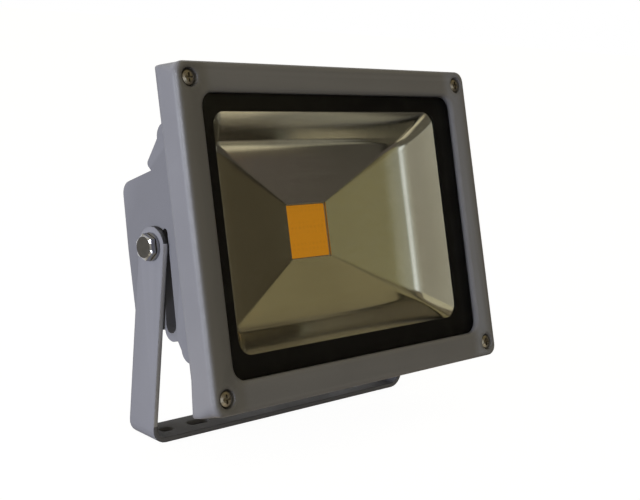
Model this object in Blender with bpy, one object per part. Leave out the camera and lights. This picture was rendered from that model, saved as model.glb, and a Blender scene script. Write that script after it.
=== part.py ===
# LED floodlight: a lamp head with a flat window frame, held between the arms of a U bracket.
# The head tilts on two bolts through the tops of the arms.
# Sizes are in millimetres and become metres where a mesh is made.
# The head is drawn in its own axes: across, depth behind the face, and height from its middle.

import math

import bmesh
import bpy
from mathutils import Matrix, Vector

for oldObject in list(bpy.data.objects):
    bpy.data.objects.remove(oldObject, do_unlink=True)

mm = 0.001
gap = 0.3  # left between pieces that touch
circleSides = 32
smallSides = 20

# Window frame
frameWidth = 180.0
frameHeight = 140.0
frameCorner = 5.0
frameEdge = 1.6
rearEdge = 0.5
squareCorner = 1.3  # corner of the frame's rear edge
roundDepth = 4.0  # corner round down to here, then squarer
squareDepth = 2.4  # square corner ahead of the rear edge
lugDepth = 1.8  # lower rear corners past the rear edge
lugRise = 15.4  # and how far up the sides
lugBeyond = 0.3  # lug along the lower side, past the glass's corner
sideBar = 11.9  # window to the frame's outer side
topBar = 12.35
windowCorner = 6.5
lipEdge = 1.2
lipThickness = 2.6
skirtWall = 2.5
skirtCorner = 3.0
skirtBeyond = 0.3  # skirt past the housing's flange
screwInset = 6.8  # corner screw to the frame's outer sides

# Glass, seal and reflector
glassThickness = 4.0
glassLap = 2.7  # glass behind the lip
glassCorner = 9.0
sealThickness = 1.0
sealShowSide = 8.5  # black seal seen inside the window
sealShowTop = 7.95
sealRise = 1.1  # the seal sits this much high in the frame
sightCorner = 6.6
sheet = 0.6
rimLap = 3.1  # reflector flange under the seal
foldInsetSide = 9.6  # rim to fold, at the sides
foldInsetTop = 11.65
foldDrop = 13.4  # rim to fold, in depth
foldCorner = 1.2
mouthDrop = 22.4  # rim to the hole round the emitter
mouthMargin = 0.6  # hole beyond the emitter, each side

# Light source
emitterSize = 24.0
emitterThickness = 0.6
damWall = 0.8
chipSize = 42.0
chipThickness = 1.6
chipCorner = 1.5
chipScrewInset = 3.5
chipScrewRadius = 1.1
chipScrewHead = 2.2
chipScrewHeadHeight = 1.3
chipScrewReach = 3.4

# Housing
flangeThickness = 4.2
bodyInsetSide = 13.0  # frame's outer side to the housing's cheek
bodyInsetTop = 20.0
wall = 3.5
sideWall = 13.0
floorThickness = 4.5
shoulderAhead = 1.2  # shoulder ahead of the floor's front
shoulderRadius = 6.0
topTipPast = 5.3
topTipHeight = 34.6
topTipRadius = 1.9
boxTopFront = 31.6
boxTopRear = 29.3
boxBottom = 34.5
boxRadius = 5.5
boxDraft = 0.9  # the box's back leans in towards its top
lowTipAhead = 1.6  # lower tip ahead of the floor's back
lowTipHeight = 35.2
lowTipRadius = 5.3
neckHeight = 28.5
neckHalfWidth = 45.0
neckRoom = 0.5  # neck's edge behind the reflector's back
neckCorner = 4.0
panSideWall = 5.5
panTopWall = 2.2
panCorner = 6.0
finMargin = 11.0  # solid cheek beside the outermost gaps
finThickness = 2.4
finGaps = 12
finClearance = 0.2  # left standing on the box
grooveDepth = 8.0
grooveTopAhead = 6.8  # groove ahead of the bolt
grooveTopHeight = 5.0
grooveTopRadius = 1.7
grooveLowAhead = 3.8
grooveLowHeight = -33.6
grooveLowRadius = 3.3

# Rear cover
coverThickness = 2.0
coverSealThickness = 1.0
coverSealWidth = 2.4
coverSealCorner = 1.0
coverLap = 9.2  # cover beyond the chamber, at each side
coverEdge = 0.5  # cover short of the box's outside
coverScrewPlace = 5.8  # cover screw beyond the chamber's side
coverScrewReach = 7.0  # cover screw in the housing
coverCorner = 3.0

# Fasteners
screwRadius = 1.9
screwHeadRadius = 3.5
screwHeadHeight = 2.0
screwRecessRadius = 3.95
smallScrewRadius = 1.4
smallScrewHead = 2.6
smallScrewHeadHeight = 1.5
boltRadius = 3.0
boltAcrossFlats = 10.0
boltHeadHeight = 2.6
boltChamfer = 0.5
boltReach = 9.0  # bolt inside the housing
washerRadius = 6.0
washerThickness = 0.9
bossRadius = 7.5
bossHeight = 0.5

# Bracket
tiltDegrees = 15.9
pivotPast = 3.0  # tilt axis behind the housing's floor
swingRoom = 0.815  # frame's lower edge over the base as it swings past
armWidth = 17.0
strapThickness = 2.0
bendRadius = 7.0
slotWidth = 5.0
innerSlotInset = 29.4  # slot to the arm's inner face
innerSlotLength = 12.0
outerSlotInset = 11.4
outerSlotLength = 7.0

# Driver and wiring
driverHeight = 40.0
driverDepth = 17.0
driverRoom = 2.2  # behind the driver
driverSide = 1.0  # foot to the chamber's side
driverFoot = 6.0
driverFootThickness = 1.2
driverEdge = 1.5
leadRadius = 0.8
leadBeyondChip = 9.0
leadToFoot = 5.0  # lamp leads to the driver's foot
leadToBlock = 8.0
leadOnChip = 4.0
leadSpacing = 10.0
leadBend = 3.0
leadRise = 6.5  # lamp lead over the floor
supplyRadius = 1.0
supplySpacing = 24.0
supplyRise = 4.5
blockLength = 12.0
blockHeight = 32.0
blockDepth = 9.0
blockScrewRadius = 1.8
blockScrewHeight = 1.2
blockScrewSunk = 3.0
earthBelowBlock = 7.0
earthRingRadius = 3.6
earthRingThickness = 0.8

# Cable gland
glandThread = 6.0
glandFlats = 16.0
glandFlangeHeight = 4.0
glandNutRadius = 7.8
glandNutHeight = 9.5
glandBore = 4.4
glandMouth = 3.6
glandCollar = 4.5
glandRelief = 1.0  # fins cut back round the gland
glandEnd = 0.5  # thread past the lock nut
glandCrown = 2.8  # rounded end of the outer nut
lockNutHeight = 3.0

# Depths that follow from the sizes above
glassFront = lipThickness + gap
glassBack = glassFront + glassThickness
sealFront = glassBack + gap
sealBack = sealFront + sealThickness
flangeFront = sealBack + gap
flangeBack = flangeFront + flangeThickness
frameDepth = flangeBack + skirtBeyond
rimDepth = flangeFront
foldDepth = rimDepth + foldDrop
mouthDepth = rimDepth + mouthDrop
emitterFront = mouthDepth + sheet + gap
chipFront = emitterFront + emitterThickness + gap
floorFront = chipFront + chipThickness + gap
floorBack = floorFront + floorThickness
pivotDepth = floorBack + pivotPast
shoulderDepth = floorFront - shoulderAhead
topTipDepth = floorFront + topTipPast
lowTipDepth = floorBack - lowTipAhead
driverFront = floorBack + gap
boxWallBack = driverFront + driverDepth + driverRoom
coverSealFront = boxWallBack + gap
coverFront = coverSealFront + coverSealThickness + gap
boxRear = coverFront + coverThickness
grooveTopDepth = pivotDepth - grooveTopAhead
grooveLowDepth = pivotDepth - grooveLowAhead
glandDepth = (floorBack + boxWallBack) / 2

# Widths and heights that follow from the sizes above
windowWidth = frameWidth - 2 * sideBar
windowHeight = frameHeight - 2 * topBar
glassHalfWidth = windowWidth / 2 + glassLap
lugReach = glassCorner + gap + lugBeyond
glassHalfHeight = windowHeight / 2 + glassLap
sightWidth = windowWidth - 2 * sealShowSide
sightHeight = windowHeight - 2 * sealShowTop
rimHalfWidth = sightWidth / 2
rimHalfHeight = sightHeight / 2 + sealRise
foldHalfWidth = rimHalfWidth - foldInsetSide
foldHalfHeight = rimHalfHeight - foldInsetTop
mouthHalf = emitterSize / 2 + mouthMargin
screwAcross = frameWidth / 2 - screwInset
screwUp = frameHeight / 2 - screwInset
chipScrewPlace = chipSize / 2 - chipScrewInset
cheek = frameWidth / 2 - bodyInsetSide
bodyHalfHeight = frameHeight / 2 - bodyInsetTop
finPitch = 2 * (cheek - finMargin) / finGaps
chamberHalfWidth = cheek - sideWall
chamberTop = boxTopRear - wall
chamberBottom = -(boxBottom - wall)
coverHalfWidth = chamberHalfWidth + coverLap
coverTop = boxTopRear - coverEdge
coverBottom = -(boxBottom - coverEdge)
coverScrewAcross = chamberHalfWidth + coverScrewPlace
coverScrewHeight = chamberTop - coverScrewPlace
driverRight = chamberHalfWidth - driverSide - driverFoot
leadPlace = -(chipSize / 2 + leadBeyondChip)
driverLeft = leadPlace + leadToFoot + driverFoot
leadRun = floorBack + leadRise
supplyRun = floorBack + supplyRise
blockRight = leadPlace - leadToBlock
blockLeft = blockRight - blockLength
blockMiddle = (blockLeft + blockRight) / 2
earthHeight = -(blockHeight / 2 + earthBelowBlock)
glandPlace = blockMiddle
glandFlangeRadius = glandFlats * 0.56

# The neck starts where the reflector's slopes have drawn in past its edges
slopes = ((foldHalfWidth, neckHalfWidth), (foldHalfHeight, neckHeight))
neckShare = max((fold - neck + sheet / 2) / (fold - mouthHalf) for fold, neck in slopes)
neckStart = foldDepth + neckShare * (mouthDepth - foldDepth) + sheet + neckRoom
finFront = neckStart + wall

# Bracket places: the arms are as long as the head needs to swing past the base
armInner = cheek + bossHeight + gap
armOuter = armInner + strapThickness
pivotHeight = math.hypot(pivotDepth, frameHeight / 2) + swingRoom + strapThickness
innerSlotPlace = armInner - innerSlotInset
outerSlotPlace = armInner - outerSlotInset


def makeMaterial(name, colour, roughness, metallic):
    paint = bpy.data.materials.new(name)
    paint.use_nodes = True
    shader = paint.node_tree.nodes["Principled BSDF"]
    shader.inputs["Base Color"].default_value = (*colour, 1.0)
    shader.inputs["Roughness"].default_value = roughness
    shader.inputs["Metallic"].default_value = metallic
    return paint


greyPaint = makeMaterial("grey_paint", (0.26, 0.265, 0.30), 0.5, 0.2)
clearGlass = makeMaterial("clear_glass", (0.90, 0.93, 0.92), 0.05, 0.0)
blackRubber = makeMaterial("black_rubber", (0.012, 0.012, 0.013), 0.6, 0.0)
polishedSheet = makeMaterial("polished_sheet", (0.72, 0.70, 0.64), 0.2, 1.0)
stainless = makeMaterial("stainless_steel", (0.62, 0.61, 0.58), 0.28, 1.0)
phosphor = makeMaterial("yellow_phosphor", (0.75, 0.33, 0.02), 0.5, 0.0)
whiteResin = makeMaterial("white_resin", (0.85, 0.84, 0.80), 0.45, 0.0)
chipMetal = makeMaterial("chip_plate", (0.70, 0.70, 0.69), 0.35, 0.9)
driverMetal = makeMaterial("driver_case", (0.75, 0.76, 0.77), 0.4, 0.8)
redSleeve = makeMaterial("red_sleeve", (0.55, 0.02, 0.02), 0.45, 0.0)
blackSleeve = makeMaterial("black_sleeve", (0.02, 0.02, 0.02), 0.45, 0.0)
brownSleeve = makeMaterial("brown_sleeve", (0.14, 0.05, 0.02), 0.45, 0.0)
blueSleeve = makeMaterial("blue_sleeve", (0.02, 0.08, 0.45), 0.45, 0.0)
blackNylon = makeMaterial("black_nylon", (0.02, 0.02, 0.022), 0.5, 0.0)
brass = makeMaterial("brass", (0.72, 0.52, 0.22), 0.3, 1.0)

# Everything that tilts hangs on this empty, which sits on the tilt axis
tiltAxis = bpy.data.objects.new("tilt_axis", None)
tiltAxis.location = (0.0, 0.0, pivotHeight * mm)
tiltAxis.rotation_euler = (-math.radians(tiltDegrees), 0.0, 0.0)
bpy.context.scene.collection.objects.link(tiltAxis)


def headPoint(across, depth, height):
    return Vector((across, depth - pivotDepth, height)) * mm


def basePoint(across, depth, height):
    return Vector((across, depth, height)) * mm


# Outlines: lists of plane points

def arc(centre, radius, start, end, steps=6):
    # Angles in degrees, both ends included
    points = []
    for step in range(steps + 1):
        angle = math.radians(start + (end - start) * step / steps)
        points.append((centre[0] + radius * math.cos(angle), centre[1] + radius * math.sin(angle)))
    return points


def roundedRectangle(halfWidth, halfHeight, radius, steps=6):
    points = []
    for quarter, (side, up) in enumerate(((1, 1), (-1, 1), (-1, -1), (1, -1))):
        centre = (side * (halfWidth - radius), up * (halfHeight - radius))
        points += arc(centre, radius, 90 * quarter, 90 * quarter + 90, steps)
    return points


def boxOutline(low, high, bottom, top):
    return [(low, bottom), (high, bottom), (high, top), (low, top)]


def stadium(centre, length, width, steps=8):
    reach = (length - width) / 2
    right = arc((centre[0] + reach, centre[1]), width / 2, -90, 90, steps)
    left = arc((centre[0] - reach, centre[1]), width / 2, 90, 270, steps)
    return right + left


def taperedSlot(first, firstRadius, second, secondRadius, steps=8):
    # Outline round two circles of unlike radius, joined by their common tangents
    across = Vector(second) - Vector(first)
    heading = math.degrees(math.atan2(across.y, across.x))
    lean = math.degrees(math.acos((firstRadius - secondRadius) / across.length))
    end = arc(second, secondRadius, heading - lean, heading + lean, steps)
    start = arc(first, firstRadius, heading + lean, heading + 360 - lean, steps)
    return end + start


def polygonAround(radius, sides, flats=0, points=24):
    # A circle, or a hexagon of the given width across flats, always with the same count of points
    outline = []
    for step in range(points):
        angle = 2 * math.pi * step / points
        reach = radius
        if flats:
            offset = (angle % (math.pi / 3)) - math.pi / 6
            reach = min(radius, flats / 2 / math.cos(offset))
        outline.append((reach * math.cos(angle), reach * math.sin(angle)))
    return outline


# Solids

def loft(solid, loops, ring=False):
    # Joins loops of equal count; a ring joins its last loop to its first and has no end faces
    rows = [[solid.verts.new(point) for point in loop] for loop in loops]
    count = len(rows[0])
    last = len(rows) if ring else len(rows) - 1
    faces = []
    for row in range(last):
        lower = rows[row]
        upper = rows[(row + 1) % len(rows)]
        for step in range(count):
            after = (step + 1) % count
            faces.append(solid.faces.new((lower[step], lower[after], upper[after], upper[step])))
    if not ring:
        faces.append(solid.faces.new(list(reversed(rows[0]))))
        faces.append(solid.faces.new(rows[-1]))
    bmesh.ops.recalc_face_normals(solid, faces=faces)


def framed(sections, raised=0.0):
    # Rounded rectangles facing forward: half width, half height, corner radius, depth
    loops = []
    for halfWidth, halfHeight, radius, depth in sections:
        outline = roundedRectangle(halfWidth, halfHeight, radius)
        loops.append([headPoint(across, depth, height + raised) for across, height in outline])
    return loops


def alongDepth(outline, front, back, place=headPoint):
    return [[place(across, depth, height) for across, height in outline] for depth in (front, back)]


def alongWidth(outline, left, right, place=headPoint):
    return [[place(across, depth, height) for depth, height in outline] for across in (left, right)]


def alongHeight(outline, bottom, top, place=headPoint):
    return [[place(across, depth, height) for across, depth in outline] for height in (bottom, top)]


def turned(profile, centre, axis, sides=circleSides):
    # Rings round an axis: distance along it, radius, and width across flats where it is a hexagon
    if axis == "x":
        turn = Matrix.Rotation(math.radians(90), 3, "Y")
    elif axis == "-x":
        turn = Matrix.Rotation(math.radians(-90), 3, "Y")
    elif axis == "y":
        turn = Matrix.Rotation(math.radians(-90), 3, "X")
    elif axis == "-z":
        turn = Matrix.Rotation(math.radians(180), 3, "X")
    else:
        turn = Matrix.Identity(3)
    loops = []
    for entry in profile:
        flats = entry[2] if len(entry) > 2 else 0
        outline = polygonAround(entry[1], sides, flats, sides)
        loops.append([centre + turn @ (Vector((*point, entry[0])) * mm) for point in outline])
    return loops


def addPiece(name, solid, paint, parent=tiltAxis):
    mesh = bpy.data.meshes.new(name)
    solid.to_mesh(mesh)
    solid.free()
    mesh.shade_smooth()
    mesh.set_sharp_from_angle(angle=math.radians(32))
    piece = bpy.data.objects.new(name, mesh)
    bpy.context.scene.collection.objects.link(piece)
    piece.parent = parent
    if paint:
        mesh.materials.append(paint)
    return piece


def pieceFromLoops(name, loops, paint, ring=False, parent=tiltAxis):
    solid = bmesh.new()
    loft(solid, loops, ring)
    return addPiece(name, solid, paint, parent)


def combine(target, solids, operation="DIFFERENCE"):
    # Adds or cuts away closed shapes that don't touch one another
    tool = bmesh.new()
    for loops in solids:
        loft(tool, loops)
    name = target.name + "_tool_" + str(len(target.modifiers))
    cutter = addPiece(name, tool, None, target.parent)
    cutter.hide_render = True
    cutter.display_type = "WIRE"
    step = target.modifiers.new(operation.lower(), "BOOLEAN")
    step.operation = operation
    step.object = cutter
    step.solver = "EXACT"


def screwLoops(centre, axis, radius, reach, headRadius, headHeight, sides=smallSides):
    # A domed head with its underside at the centre; the shank runs back from it
    profile = [
        (-reach, radius * 0.8),
        (-reach + radius * 0.4, radius),
        (0.0, radius),
        (0.0, headRadius),
        (headHeight * 0.35, headRadius),
        (headHeight * 0.75, headRadius * 0.84),
        (headHeight, headRadius * 0.5),
    ]
    return turned(profile, centre, axis, sides)


def addCrossRecess(screw, centre, axis, headRadius, headHeight):
    # Two crossing slots make the recess, cut one after the other
    length = headRadius * 0.55
    width = headRadius * 0.13
    floor = headHeight * 0.35
    top = headHeight * 1.6
    for first, second in ((length, width), (width, length)):
        outline = boxOutline(-first, first, -second, second)
        if axis == "-y":
            corners = [[centre + Vector((a, -level, b)) * mm for a, b in outline] for level in (floor, top)]
        else:
            corners = [[centre + Vector((a, level, b)) * mm for a, b in outline] for level in (floor, top)]
        combine(screw, [corners])


def facingScrew(name, across, height, seat, paint, forward=True, sizes=None):
    # A cross-head screw along the depth axis: forward ones face the lamp's front
    radius, reach, headRadius, headHeight = sizes
    centre = headPoint(across, seat, height)
    loops = screwLoops(Vector(), "z", radius, reach, headRadius, headHeight)
    turn = Matrix.Rotation(math.radians(90 if forward else -90), 3, "X")
    loops = [[centre + turn @ point for point in loop] for loop in loops]
    screw = pieceFromLoops(name, loops, paint)
    addCrossRecess(screw, centre, "-y" if forward else "y", headRadius, headHeight)


def roundHole(across, height, radius, front, back, sides=smallSides):
    outline = [(across + x, height + z) for x, z in polygonAround(radius, sides, 0, sides)]
    return alongDepth(outline, front, back)


def tube(name, path, radius, paint, parent=tiltAxis, sides=10):
    # A round lead swept through its points
    loops = []
    for index, point in enumerate(path):
        before = path[max(index - 1, 0)]
        after = path[min(index + 1, len(path) - 1)]
        heading = (after - before).normalized()
        side = heading.cross(Vector((0, 0, 1))).normalized()
        up = side.cross(heading)
        ring = []
        for step in range(sides):
            angle = 2 * math.pi * step / sides
            ring.append(point + (side * math.cos(angle) + up * math.sin(angle)) * radius * mm)
        loops.append(ring)
    return pieceFromLoops(name, loops, paint, parent=parent)


# Bracket

def strapOutline():
    # The strap seen from the front: across and height, round both bends
    inner = bendRadius - strapThickness
    top = pivotHeight + armWidth / 2
    outer = [(-armOuter, top)]
    outer += arc((-armOuter + bendRadius, bendRadius), bendRadius, 180, 270)
    outer += arc((armOuter - bendRadius, bendRadius), bendRadius, 270, 360)
    outer += [(armOuter, top), (armInner, top)]
    outer += arc((armInner - inner, strapThickness + inner), inner, 0, -90)
    outer += arc((-armInner + inner, strapThickness + inner), inner, 270, 180)
    outer += [(-armInner, top)]
    return outer


def addBracket():
    half = armWidth / 2
    strap = alongDepth(strapOutline(), -half, half, basePoint)
    bracket = pieceFromLoops("mounting_bracket", strap, greyPaint, parent=None)
    beyond = half + 4.0
    crown = [(beyond, pivotHeight), (half, pivotHeight)] + arc((0, pivotHeight), half, 0, 180, 20)[1:-1]
    crown += [(-half, pivotHeight), (-beyond, pivotHeight), (-beyond, pivotHeight + beyond)]
    crown += [(beyond, pivotHeight + beyond)]
    combine(bracket, [alongWidth(crown, -armOuter - 5, armOuter + 5, basePoint)])
    holes = []
    for side in (-1, 1):
        circle = polygonAround(boltRadius + gap, circleSides, 0, circleSides)
        bolt = [(y, pivotHeight + z) for y, z in circle]
        ends = sorted((side * (armInner - 2), side * (armOuter + 2)))
        holes.append(alongWidth(bolt, ends[0], ends[1], basePoint))
        for place, length in ((innerSlotPlace, innerSlotLength), (outerSlotPlace, outerSlotLength)):
            slot = stadium((side * place, 0.0), length, slotWidth)
            holes.append(alongHeight(slot, -2, strapThickness + 2, basePoint))
    combine(bracket, holes)


# Front of the head

def frameLoop(halfWidth, halfHeight, radius, depth, lug=0.0):
    # A rounded rectangle with a point more on each side of its lower corners, which may reach back as lugs
    outline = roundedRectangle(halfWidth, halfHeight, radius)
    steps = len(outline) // 4
    side = lugRise - halfHeight
    along = halfWidth - lugReach
    outline = (outline[:2 * steps] + [(-halfWidth, side)] + outline[2 * steps:3 * steps]
               + [(-along, -halfHeight), (along, -halfHeight)] + outline[3 * steps:] + [(halfWidth, side)])
    loop = []
    for across, height in outline:
        down = 1 - (height + frameHeight / 2) / lugRise
        out = 1 - (frameWidth / 2 - abs(across)) / lugReach
        loop.append(headPoint(across, depth + lug * max(0.0, min(down, out)), height))
    return loop


def addFrame():
    halfWidth = frameWidth / 2
    halfHeight = frameHeight / 2
    window = (windowWidth / 2, windowHeight / 2)
    pocket = (glassHalfWidth + gap, glassHalfHeight + gap, glassCorner + gap)
    skirt = (halfWidth - skirtWall, halfHeight - skirtWall, skirtCorner)
    sections = []
    for inward, depth in arc((frameEdge, frameEdge), frameEdge, 270, 180, 4):
        sections.append((halfWidth - inward, halfHeight - inward, frameCorner - inward, depth))
    inner = squareCorner - rearEdge
    sections += [
        (halfWidth, halfHeight, frameCorner, roundDepth),
        (halfWidth, halfHeight, squareCorner, frameDepth - squareDepth),
        (halfWidth, halfHeight, squareCorner, frameDepth - rearEdge, lugDepth),
        (halfWidth - rearEdge, halfHeight - rearEdge, inner, frameDepth, lugDepth),
        (*skirt, frameDepth, lugDepth),
        (*skirt, sealBack),
        (*pocket, sealBack),
        (*pocket, lipThickness),
        (*window, windowCorner, lipThickness),
    ]
    for outward, depth in arc((lipEdge, lipEdge), lipEdge, 180, 270, 4):
        outward = lipEdge - outward
        sections.append((window[0] + lipEdge - outward, window[1] + lipEdge - outward,
                         windowCorner + lipEdge - outward, depth))
    frame = pieceFromLoops("front_frame", [frameLoop(*section) for section in sections], greyPaint, ring=True)
    recesses = []
    shanks = []
    for across in (-screwAcross, screwAcross):
        for height in (-screwUp, screwUp):
            recesses.append(roundHole(across, height, screwRecessRadius, -2, lipThickness, circleSides))
            shanks.append(roundHole(across, height, screwRadius + gap, lipThickness - 1, sealBack + 2))
    combine(frame, recesses)
    combine(frame, shanks)


def addFrameScrews():
    seat = lipThickness - gap
    reach = flangeBack - seat - gap
    sizes = (screwRadius, reach, screwHeadRadius, screwHeadHeight)
    names = ("bottom_left", "top_left", "bottom_right", "top_right")
    places = [(across, height) for across in (-screwAcross, screwAcross) for height in (-screwUp, screwUp)]
    for name, (across, height) in zip(names, places):
        facingScrew("frame_screw_" + name, across, height, seat, stainless, True, sizes)


def addGlassAndSeal():
    edge = 0.4
    glass = [
        (glassHalfWidth - edge, glassHalfHeight - edge, glassCorner - edge, glassFront),
        (glassHalfWidth, glassHalfHeight, glassCorner, glassFront + edge),
        (glassHalfWidth, glassHalfHeight, glassCorner, glassBack - edge),
        (glassHalfWidth - edge, glassHalfHeight - edge, glassCorner - edge, glassBack),
    ]
    pieceFromLoops("front_glass", framed(glass), clearGlass)
    outer = (glassHalfWidth, glassHalfHeight, glassCorner)
    inner = (sightWidth / 2, sightHeight / 2, sightCorner)
    front, back = framed([(*inner, sealFront), (*inner, sealBack)], sealRise)
    seal = [front, *framed([(*outer, sealFront), (*outer, sealBack)]), back]
    pieceFromLoops("glass_seal", seal, blackRubber, ring=True)


def addReflector():
    rim = (rimHalfWidth, rimHalfHeight)
    flange = (rim[0] + rimLap, rim[1] + rimLap, sightCorner + rimLap)
    fold = (foldHalfWidth, foldHalfHeight)
    mouth = mouthHalf
    sections = [
        (*flange, rimDepth),
        (*rim, sightCorner, rimDepth),
        (*fold, foldCorner, foldDepth),
        (mouth, mouth, 0.4, mouthDepth),
        (mouth, mouth, 0.4, mouthDepth + sheet),
        (fold[0] + sheet * 0.4, fold[1] + sheet * 0.4, foldCorner, foldDepth + sheet),
        (rim[0] + sheet * 0.6, rim[1] + sheet * 0.6, sightCorner, rimDepth + sheet),
        (*flange, rimDepth + sheet),
    ]
    pieceFromLoops("reflector", framed(sections), polishedSheet, ring=True)


# Light source

def addLightSource():
    half = emitterSize / 2
    back = emitterFront + emitterThickness
    emitter = [(half, half, 0.8, emitterFront), (half, half, 0.8, back)]
    pieceFromLoops("led_emitter", framed(emitter), phosphor)
    inner = half + gap
    outer = inner + damWall
    dam = [
        (inner, inner, 1.0, emitterFront),
        (outer, outer, 1.6, emitterFront),
        (outer, outer, 1.6, back),
        (inner, inner, 1.0, back),
    ]
    pieceFromLoops("emitter_dam", framed(dam), whiteResin, ring=True)
    chipHalf = chipSize / 2
    chip = pieceFromLoops("led_base_plate", framed([
        (chipHalf, chipHalf, chipCorner, chipFront),
        (chipHalf, chipHalf, chipCorner, chipFront + chipThickness),
    ]), chipMetal)
    places = ((-chipScrewPlace, chipScrewPlace), (chipScrewPlace, -chipScrewPlace))
    hole = chipScrewRadius + gap
    combine(chip, [roundHole(x, z, hole, chipFront - 2, floorFront + 2) for x, z in places])
    reach = chipThickness + 2 * gap + chipScrewReach
    sizes = (chipScrewRadius, reach, chipScrewHead, chipScrewHeadHeight)
    for number, (across, height) in enumerate(places, 1):
        name = "led_screw_" + str(number)
        facingScrew(name, across, height, chipFront - gap, stainless, True, sizes)
    return places


# Housing

def sideOutline():
    # The housing seen from its side: depth and height, from the top front round to the bottom front
    half = bodyHalfHeight
    front = flangeBack - flangeThickness / 2
    points = [(front, half)]
    points += arc((shoulderDepth - shoulderRadius, half - shoulderRadius), shoulderRadius, 90, 0)
    points += arc((topTipDepth, topTipHeight), topTipRadius, 52, -52, 5)
    points += [(topTipDepth, boxTopFront)]
    points += arc((boxRear - boxDraft - boxRadius, boxTopRear - boxRadius), boxRadius, 84, 4)
    points += [(boxRear, 0.0)]
    points += arc((boxRear - boxRadius, -boxBottom + boxRadius), boxRadius, 0, -90)
    points += arc((lowTipDepth, -lowTipHeight), lowTipRadius, 0, -115, 8)
    points += arc((shoulderDepth - shoulderRadius, -half + shoulderRadius), shoulderRadius, 0, -90)
    points += [(front, -half)]
    return points


def finCutters():
    # The spaces between the fins, above and below the rear box
    cutters = []
    beyond = bodyHalfHeight + 5
    for index in range(finGaps):
        middle = (index - (finGaps - 1) / 2) * finPitch
        left = middle - (finPitch - finThickness) / 2
        right = middle + (finPitch - finThickness) / 2
        upper = (boxTopFront + finClearance, beyond)
        lower = (-beyond, -boxBottom - finClearance)
        for bottom, top in (upper, lower):
            space = boxOutline(finFront, boxRear + 5, bottom, top)
            cutters.append(alongWidth(space, left, right))
    return cutters


def housingHoles(chipPlaces):
    holes = []
    for across in (-screwAcross, screwAcross):
        for height in (-screwUp, screwUp):
            holes.append(roundHole(across, height, screwRadius + gap, flangeFront - 2, flangeBack + 2))
    for across, height in chipPlaces:
        depth = floorFront + chipScrewReach + gap
        holes.append(roundHole(across, height, chipScrewRadius + gap, floorFront - 1, depth))
    thread = smallScrewRadius + gap
    for across in (driverLeft - driverFoot / 2, driverRight + driverFoot / 2):
        holes.append(roundHole(across, 0.0, thread, floorBack - wall, floorBack + 1))
    for side in (-1, 1):
        across = leadPlace
        height = side * leadSpacing / 2
        holes.append(roundHole(across, height, leadRadius + gap, floorFront - 1, floorBack + 1))
        across = side * coverScrewAcross
        front = boxWallBack - coverScrewReach - gap
        for height in (coverScrewHeight, -coverScrewHeight):
            holes.append(roundHole(across, height, thread, front, boxWallBack + 1))
    holes.append(roundHole(blockMiddle, earthHeight, thread, floorBack - wall, floorBack + 1))
    return holes


def addHousing(chipPlaces):
    housing = pieceFromLoops("rear_housing", alongWidth(sideOutline(), -cheek, cheek), greyPaint)
    flangeHalfWidth = frameWidth / 2 - skirtWall - gap
    flangeHalfHeight = frameHeight / 2 - skirtWall - gap
    flange = framed([(flangeHalfWidth, flangeHalfHeight, skirtCorner, flangeFront),
                     (flangeHalfWidth, flangeHalfHeight, skirtCorner, flangeBack)])
    combine(housing, [flange], "UNION")
    bosses = []
    for side in (-1, 1):
        circle = polygonAround(bossRadius, circleSides, 0, circleSides)
        outline = [(pivotDepth + y, z) for y, z in circle]
        ends = sorted((side * (cheek - 1), side * (cheek + bossHeight)))
        bosses.append(alongWidth(outline, ends[0], ends[1]))
    combine(housing, bosses, "UNION")
    combine(housing, finCutters())
    beyond = rimLap + gap
    rim = (rimHalfWidth + beyond, rimHalfHeight + beyond, sightCorner + beyond)
    rimBack = rimDepth + sheet + gap
    panHalfWidth = cheek - panSideWall
    panHalfHeight = bodyHalfHeight - panTopWall
    pan = [
        (*rim, flangeFront - 2),
        (*rim, rimBack),
        (panHalfWidth, rimHalfHeight + sheet + gap, panCorner, rimBack),
        (panHalfWidth, panHalfHeight, panCorner, flangeBack + sheet),
        (panHalfWidth, panHalfHeight, panCorner, neckStart),
        (neckHalfWidth, neckHeight, neckCorner, neckStart),
        (neckHalfWidth, neckHeight, neckCorner, floorFront),
    ]
    chamber = boxOutline(-chamberHalfWidth, chamberHalfWidth, chamberBottom, chamberTop)
    combine(housing, [framed(pan), alongDepth(chamber, floorBack, boxRear + 5)])
    side = coverHalfWidth + gap
    rebate = boxOutline(-side, side, -boxBottom - 5, boxTopFront + 5)
    combine(housing, [alongDepth(rebate, boxWallBack, boxRear + 5)])
    combine(housing, housingHoles(chipPlaces))
    sides = []
    for side in (-1, 1):
        circle = polygonAround(boltRadius + gap, circleSides, 0, circleSides)
        bolt = [(pivotDepth + y, z) for y, z in circle]
        ends = sorted((side * (cheek - boltReach - gap), side * (cheek + 3)))
        sides.append(alongWidth(bolt, ends[0], ends[1]))
        groove = taperedSlot((grooveTopDepth, grooveTopHeight), grooveTopRadius,
                             (grooveLowDepth, grooveLowHeight), grooveLowRadius)
        ends = sorted((side * (cheek - grooveDepth), side * (cheek + 3)))
        sides.append(alongWidth(groove, ends[0], ends[1]))
    circle = polygonAround(glandThread + gap, 28, 0, 28)
    outline = [(glandPlace + x, glandDepth + y) for x, y in circle]
    sides.append(alongHeight(outline, -boxBottom - 2, chamberBottom + 2))
    combine(housing, sides)
    circle = polygonAround(glandFlangeRadius + glandRelief, 28, 0, 28)
    outline = [(glandPlace + x, glandDepth + y) for x, y in circle]
    combine(housing, [alongHeight(outline, -2 * bodyHalfHeight, -boxBottom - finClearance)])


# Rear of the head

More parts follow.
